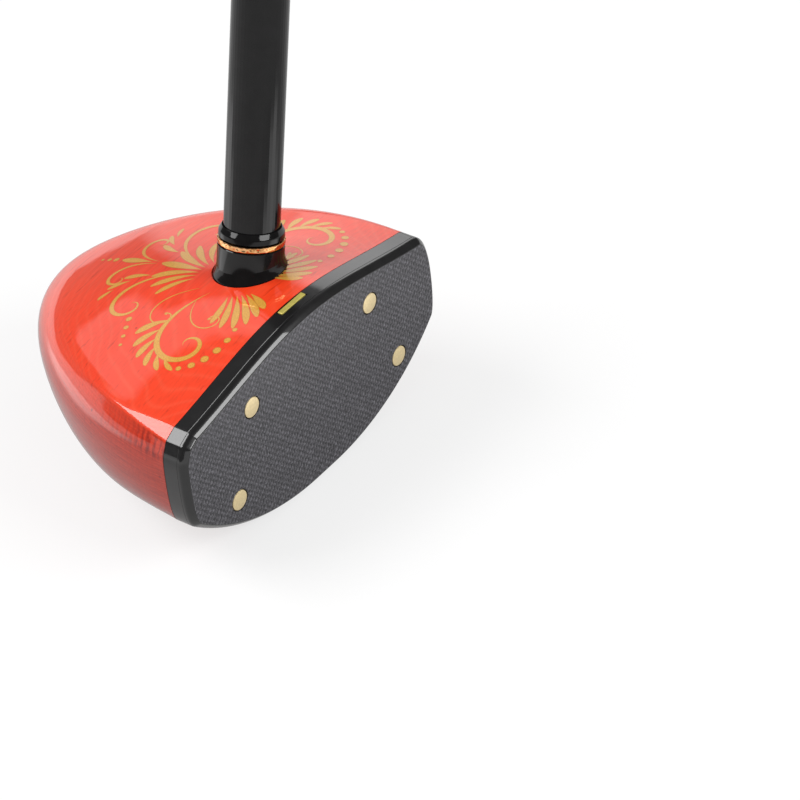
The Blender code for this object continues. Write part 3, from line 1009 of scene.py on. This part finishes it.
def dyed_wood():
    """Maple in red dye under a thick clear lacquer."""
    s = Shader("dyed_wood")
    _, y, z = s.axes()
    normal = s.axes(s.node("NewGeometry").outputs["Normal"])
    side = s.fade(normal[2], 0.72, 0.25)
    patch = s.noise(30)
    body = s.ramp(patch, (0.25, (0.94, 0.048, 0.009)), (0.75, (1.0, 0.064, 0.014)))

    # Growth rings: near-level layers that the domed crown cuts into long arcs
    drift = s.times(s.noise((14, 22, 30)), 0.0075)
    level = s.add(z, s.times(y, 0.05), drift)
    rings = s.math("ABSOLUTE", s.math("SINE", s.times(level, pi / GROWTH_PITCH)))
    body = s.mix(s.times(s.math("POWER", rings, 9), 0.16), body, (1.0, 0.17, 0.080))

    # Fibres along the toe-heel line, and fine dark pores among them
    fibre = s.noise((60, 1500, 1500), 3, 0.6)
    body = s.tint(body, s.ramp(fibre, (0.30, 0.80), (0.60, 1.0)), 0.6)
    pores = s.noise((55, 620, 620), 4, 0.7)
    body = s.tint(body, s.ramp(pores, (0.30, (0.70, 0.55, 0.55)), (0.40, 1.0)), 0.8)

    # Dust under the lacquer
    dust = s.cells("F1", 55)
    body = s.tint(body, s.ramp(dust, (0.016, (0.45, 0.30, 0.30)), (0.030, 1.0)))

    # Flame figure down the walls: dark stripes, strongest by the face and high up
    sway = s.times(s.noise((120, 200, 240), 3, 0.65), 13.0)
    stripes = s.math("SINE", s.add(s.times(y, 2 * pi / FLAME_PITCH), sway))
    flame = s.add(s.times(stripes, 0.3), s.noise((60, 240, 80), 3, 0.6))
    flame = s.ramp(flame, (0.36, 1.0), (0.70, (0.44, 0.26, 0.26)))
    by_face = s.fade(y, -0.001, -0.013)
    high = s.fade(z, 0.0405, 0.0435)
    figured = s.add(s.times(by_face, high, 0.94), 0.06)
    body = s.tint(body, flame, s.times(side, figured))

    # The walls are darker, in fine level streaks: partly end grain, which takes more dye, and
    # partly painted shade, as less light falls on the walls
    streaks = s.noise((90, 90, 2200), 3, 0.6)
    end_grain_and_shade = s.ramp(streaks, (0.30, (0.50, 0.40, 0.62)), (0.70, (0.74, 0.80, 1.1)))
    body = s.tint(body, end_grain_and_shade, side)

    # Below the shoulder near the face it is mottled
    mottle = s.noise((260, 900, 260), 3, 0.6)
    mottle = s.ramp(mottle, (0.42, 1.0), (0.62, (0.66, 0.45, 0.45)))
    spread = s.times(s.fade(y, 0.016, 0.002), s.fade(z, 0.0395, 0.043))
    body = s.tint(body, mottle, s.times(side, spread))
    return s.set(
        Base_Color=body,
        Roughness=0.42,
        Specular_IOR_Level=0.2,
        Coat_Weight=1.0,
        Coat_Roughness=0.025,
        Coat_IOR=1.5,
        Coat_Normal=s.bump(s.noise(110, 2, 0.35), 0.00006),
    )


def near_black(s, base):
    """A black with faint patches, and the slight waves of its surface."""
    low, high = base * 0.75, base * 1.3
    tone = s.noise(260, 3)
    colour = s.ramp(tone, (0.3, (low, low * 0.96, low)), (0.7, (high, high * 0.96, high)))
    return colour, s.bump(s.noise(160, 1), 0.000015)


def black_lacquer():
    s = Shader("black_lacquer")
    colour, waves = near_black(s, 0.009)
    return s.set(
        Base_Color=colour,
        Roughness=0.3,
        Specular_IOR_Level=0.25,
        Coat_Weight=1.0,
        Coat_Roughness=0.04,
        Coat_IOR=1.5,
        Coat_Normal=waves,
    )


def black_gloss(name, base, gloss, roughness):
    s = Shader(name)
    colour, waves = near_black(s, base)
    return s.set(
        Base_Color=colour, Roughness=roughness, Specular_IOR_Level=gloss, Normal=waves
    )


def woven_face():
    """Plain weave of flat tows, one across the face and one up it, under a satin resin."""
    s = Shader("woven_face")
    x, _, z = s.axes()
    wobble = s.times(s.noise(560, 3, 0.6), 0.0009)
    sin_u = s.math("SINE", s.times(s.add(x, wobble), pi / WEAVE_PITCH))
    sin_v = s.math("SINE", s.times(s.add(z, wobble), pi / WEAVE_PITCH))
    round_u = s.math("POWER", s.math("ABSOLUTE", sin_u), 0.6)
    round_v = s.math("POWER", s.math("ABSOLUTE", sin_v), 0.6)
    warp = s.add(s.times(s.math("SIGN", sin_u), sin_v), round_u)
    weft = s.math("SUBTRACT", round_v, s.times(s.math("SIGN", sin_v), sin_u))
    height = s.math("MAXIMUM", warp, weft)
    warp_up = s.math("GREATER_THAN", warp, weft)
    fibre = s.mix(warp_up, s.noise((900, 6000, 6000)), s.noise((6000, 6000, 900)))
    # Painted sheen: the tows that run up the face are lighter than those across it
    tone = s.mix(warp_up, (0.066, 0.064, 0.072), (0.148, 0.143, 0.160))
    # Painted shade in the hollows between the tows, and the tows' fibres
    tone = s.tint(tone, s.ramp(height, (0.10, 0.12), (0.75, 1.0)), 0.8)
    tone = s.tint(tone, s.ramp(fibre, (0.36, 0.25), (0.62, 1.0)), 0.7)
    # Single filaments catch the light or lie in the dark
    glint = s.noise((2100, 2100, 1500), 3, 0.6)
    tone = s.tint(tone, s.ramp(glint, (0.36, 0.50), (0.50, 1.0), (0.66, 1.7)))
    return s.set(
        Base_Color=tone,
        Roughness=0.40,
        Specular_IOR_Level=0.5,
        Normal=s.bump(height, 0.00005, 0.8),
    )


def satin_metal(name, colour, roughness, grain, share):
    """Metal with a fine grain; the share is how metallic it looks."""
    s = Shader(name)
    tone = s.noise(grain, 3)
    dark = tuple(c * 0.86 for c in colour)
    return s.set(
        Base_Color=s.ramp(tone, (0.3, dark), (0.7, colour)),
        Metallic=share,
        Roughness=roughness,
        Normal=s.bump(tone, 0.00001),
    )


def hammered_trim():
    s = Shader("gold_trim")
    tone = s.noise(500)
    return s.set(
        Base_Color=s.ramp(tone, (0.35, (0.70, 0.33, 0.12)), (0.7, (0.92, 0.52, 0.25))),
        Metallic=1.0,
        Roughness=0.18,
        Normal=s.bump(s.cells("SMOOTH_F1", 900), 0.00025, 0.9),
    )


def gold_ink():
    """Flecked gold with darker rims, under the head's lacquer."""
    s = Shader("gold_ink")
    fleck = s.noise(4200)
    gold = s.ramp(fleck, (0.35, (0.66, 0.31, 0.040)), (0.65, (0.90, 0.47, 0.070)))
    inner = s.node("Attribute", attribute_name="body").outputs["Fac"]
    return s.set(
        Base_Color=s.mix(inner, (0.50, 0.16, 0.02), gold),
        Metallic=0.15,
        Roughness=0.45,
        Specular_IOR_Level=0.3,
        Coat_Weight=1.0,
        Coat_Roughness=0.025,
    )


def grip_rubber():
    """Black rubber, with painted highlights grey on its ridges and painted shade in its grooves.
    """
    s = Shader("grip_rubber")
    rib_light_and_shade = s.node("Attribute", attribute_name="body").outputs["Fac"]
    # Painted highlight and shade: grey on the ribs' ridges, near black in their grooves
    tone = s.ramp(rib_light_and_shade, (0.0, (0.010, 0.009, 0.010)), (1.0, (0.105, 0.098, 0.103)))
    return s.set(
        Base_Color=s.tint(tone, s.ramp(s.noise(900, 3), (0.3, 0.75), (0.7, 1.0))),
        Roughness=s.ramp(s.noise(300), (0.3, 0.52), (0.7, 0.66)),
        Specular_IOR_Level=0.45,
        Normal=s.bump(s.noise(2600), 0.00004, 0.7),
    )


def cap_rubber():
    s = Shader("cap_rubber")
    tone = s.noise(220)
    return s.set(
        Base_Color=s.ramp(tone, (0.3, (0.90, 0.115, 0.098)), (0.7, (0.97, 0.145, 0.125))),
        Roughness=0.42,
        Normal=s.bump(s.noise(2200), 0.00003, 0.6),
    )


def tape():
    s = Shader("tape")
    tone = s.noise((900, 900, 200))
    return s.set(
        Base_Color=s.ramp(tone, (0.3, (0.6, 0.57, 0.5)), (0.7, (0.75, 0.72, 0.64))),
        Roughness=0.8,
    )


# Dressing the frame

def stand_for(piece, node):
    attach(piece, "root")
    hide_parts(node)


def dress():
    lacquer = black_lacquer()
    resin = black_gloss("ferrule_resin", 0.006, 0.3, 0.08)
    brass = satin_metal("brass", (1.0, 0.81, 0.46), 0.40, 1400, 0.3)
    stand_for(build_head(dyed_wood()), "head_body")
    stand_for(build_face_plate(woven_face(), lacquer), "face_plate")
    stand_for(build_backing(lacquer), "face_backing")
    for place, pin in build_pins(brass).items():
        stand_for(pin, "face_pin_" + place)
    stand_for(build_sleeve(resin), "ferrule_sleeve")
    stand_for(build_trim_ring(hammered_trim()), "ferrule_ring")
    stand_for(build_collar(resin), "ferrule_collar")
    stand_for(build_grip(grip_rubber()), "grip")
    stand_for(build_cap(cap_rubber()), "grip_cap")
    ornament = build_ornament(gold_ink())
    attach(ornament, "root")
    kept = {
        "shaft": black_gloss("shaft_lacquer", 0.007, 0.25, 0.09),
        "grip_tape": tape(),
        "sight_mark": satin_metal("sight_gold", (0.66, 0.56, 0.13), 0.42, 900, 0.35),
    }
    for name, material in kept.items():
        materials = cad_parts[name].data.materials
        materials.clear()
        materials.append(material)


# Stage, camera and light

CAMERA_PLACE = Vector((-0.54556, -0.51742, 0.60155))
CAMERA_LOOK = Vector((0.60015, 0.50604, -0.61947))
CAMERA_ROLL = radians(-6.365)
FOCAL_PIXELS = 3349.7
FRAME_PIXELS = 800

# What mirrors see of the world: white up to the skyline in radians, then a shade, and windows
# with soft edges, each by its azimuths and elevations in degrees and its radiance
STUDIO_SHADE = 0.14
SKYLINE = (0.015, 0.03)
WINDOW_EDGE = 1.5
STUDIO_WINDOWS = (
    ((48, 69), (31, 41.5), 1.05),
    ((60, 69), (20.5, 33), 0.9),
    ((18, 41), (11, 26), 1.6),
    ((40, 52), (-2, 21), 0.9),
)
DIFFUSE_LIGHT = 0.36

FLOOR_HALF_SIZE = 6.0
# The floor's glow, then what is added far away and what mirrors miss round the club: each an
# amount with the distances between which it comes in
FLOOR_GLOW = 0.70
FAR_GLOW = (0.2, 0.5, 2.5)
CLUB_SHADE = (0.38, 0.5, 0.08)
# Bright cards on the floor that only mirrors show: x, y, radius and added radiance
FLOOR_CARDS = ((0.045, -0.165, 0.10, 1.7), (-0.11, 0.225, 0.13, 1.2))

# The softboxes face this point, from this far
HEAD_MIDDLE = Vector((0, 0, 0.03))
LAMP_DISTANCE = 1.8


def build_floor():
    """A pale floor: white to the camera as far as the skyline, with its own glow for mirrors."""
    s = Shader("studio_floor")
    x, y, _ = s.axes()

    def distance(side, back):
        across, along = s.math("SUBTRACT", x, side), s.math("SUBTRACT", y, back)
        return s.math("SQRT", s.add(s.times(across, across), s.times(along, along)))

    away = distance(0.0, 0.0)
    far, far_start, far_end = FAR_GLOW
    white = s.add(s.times(s.fade(away, far_start, far_end), far), FLOOR_GLOW)
    shade, shade_start, shade_end = CLUB_SHADE
    glow = s.math("SUBTRACT", white, s.times(s.fade(away, shade_start, shade_end), shade))
    for side, back, reach, level in FLOOR_CARDS:
        card = s.fade(distance(side, back), reach, reach * 0.6)
        glow = s.add(glow, s.times(card, level))
    material = s.set(
        Base_Color=s.ramp(s.noise(3), (0.3, 0.29), (0.7, 0.31)),
        Roughness=0.9,
        Specular_IOR_Level=0.0,
        Emission_Color=(1.0, 1.0, 1.0, 1.0),
        Emission_Strength=s.math(
            "MAXIMUM", s.times(s.mirrored(), glow), s.times(s.seen(), white)
        ),
    )
    size = FLOOR_HALF_SIZE
    corners = [(-size, -size, 0), (size, -size, 0), (size, size, 0), (-size, size, 0)]
    floor = mesh_object("floor", corners, [(0, 1, 2, 3)], [material])


def build_world():
    """A pale studio: white to the camera and at the skyline, dimmer higher up for mirrors."""
    world = bpy.data.worlds.new("studio")
    bpy.context.scene.world = world
    world.use_nodes = True
    s = Nodes(world.node_tree, "Generated")
    x, y, z = s.axes()
    around, above = s.math("ARCTAN2", y, x), s.math("ARCSINE", z)
    glow = s.fade(above, *SKYLINE, 1.0, STUDIO_SHADE, "LINEAR")
    for turn, rise, level in STUDIO_WINDOWS:
        sides = []
        for angle, (low, high) in ((around, turn), (above, rise)):
            for middle, edge in ((low, WINDOW_EDGE), (high, -WINDOW_EDGE)):
                sides.append(s.fade(angle, radians(middle - edge), radians(middle + edge)))
        glow = s.math("MAXIMUM", glow, s.times(*sides, level))
    glow = s.fade(s.mirrored(), 0.0, 1.0, DIFFUSE_LIGHT, glow)
    background = world.node_tree.nodes["Background"].inputs
    s.put(background["Color"], (1.0, 1.0, 1.0, 1.0))
    s.put(background["Strength"], s.fade(s.seen(), 0.0, 1.0, glow, 1.0))


def softbox(name, azimuth, elevation, size, radiance):
    """An area lamp that faces the head, from a direction in degrees."""
    turn, rise = radians(azimuth), radians(elevation)
    away = Vector((cos(rise) * cos(turn), cos(rise) * sin(turn), sin(rise)))
    lamp = bpy.data.lights.new(name, "AREA")
    lamp.shape = "RECTANGLE"
    lamp.size, lamp.size_y = size
    lamp.energy = radiance * pi * size[0] * size[1]
    holder = bpy.data.objects.new(name, lamp)
    holder.visible_camera = False
    holder.location = HEAD_MIDDLE + away * LAMP_DISTANCE
    holder.rotation_euler = (-away).to_track_quat("-Z", "Y").to_euler()
    bpy.context.scene.collection.objects.link(holder)


def build_lights():
    softbox("back_box", 124, 48, (1.3, 0.8), 7)
    softbox("front_box", -76, 35, (1.1, 0.62), 7.8)


def build_camera():
    data = bpy.data.cameras.new("camera")
    camera = bpy.data.objects.new("camera", data)
    bpy.context.scene.collection.objects.link(camera)
    facing = CAMERA_LOOK.to_track_quat("-Z", "Y").to_matrix().to_4x4()
    roll = Matrix.Rotation(CAMERA_ROLL, 4, "Z")
    camera.matrix_world = Matrix.Translation(CAMERA_PLACE) @ facing @ roll
    data.sensor_width = 36
    data.lens = FOCAL_PIXELS * data.sensor_width / FRAME_PIXELS
    data.clip_start, data.clip_end = 0.01, 50
    bpy.context.scene.camera = camera


build_camera()
dress()
build_floor()
build_world()
build_lights()
bpy.context.scene.view_settings.view_transform = "Standard"
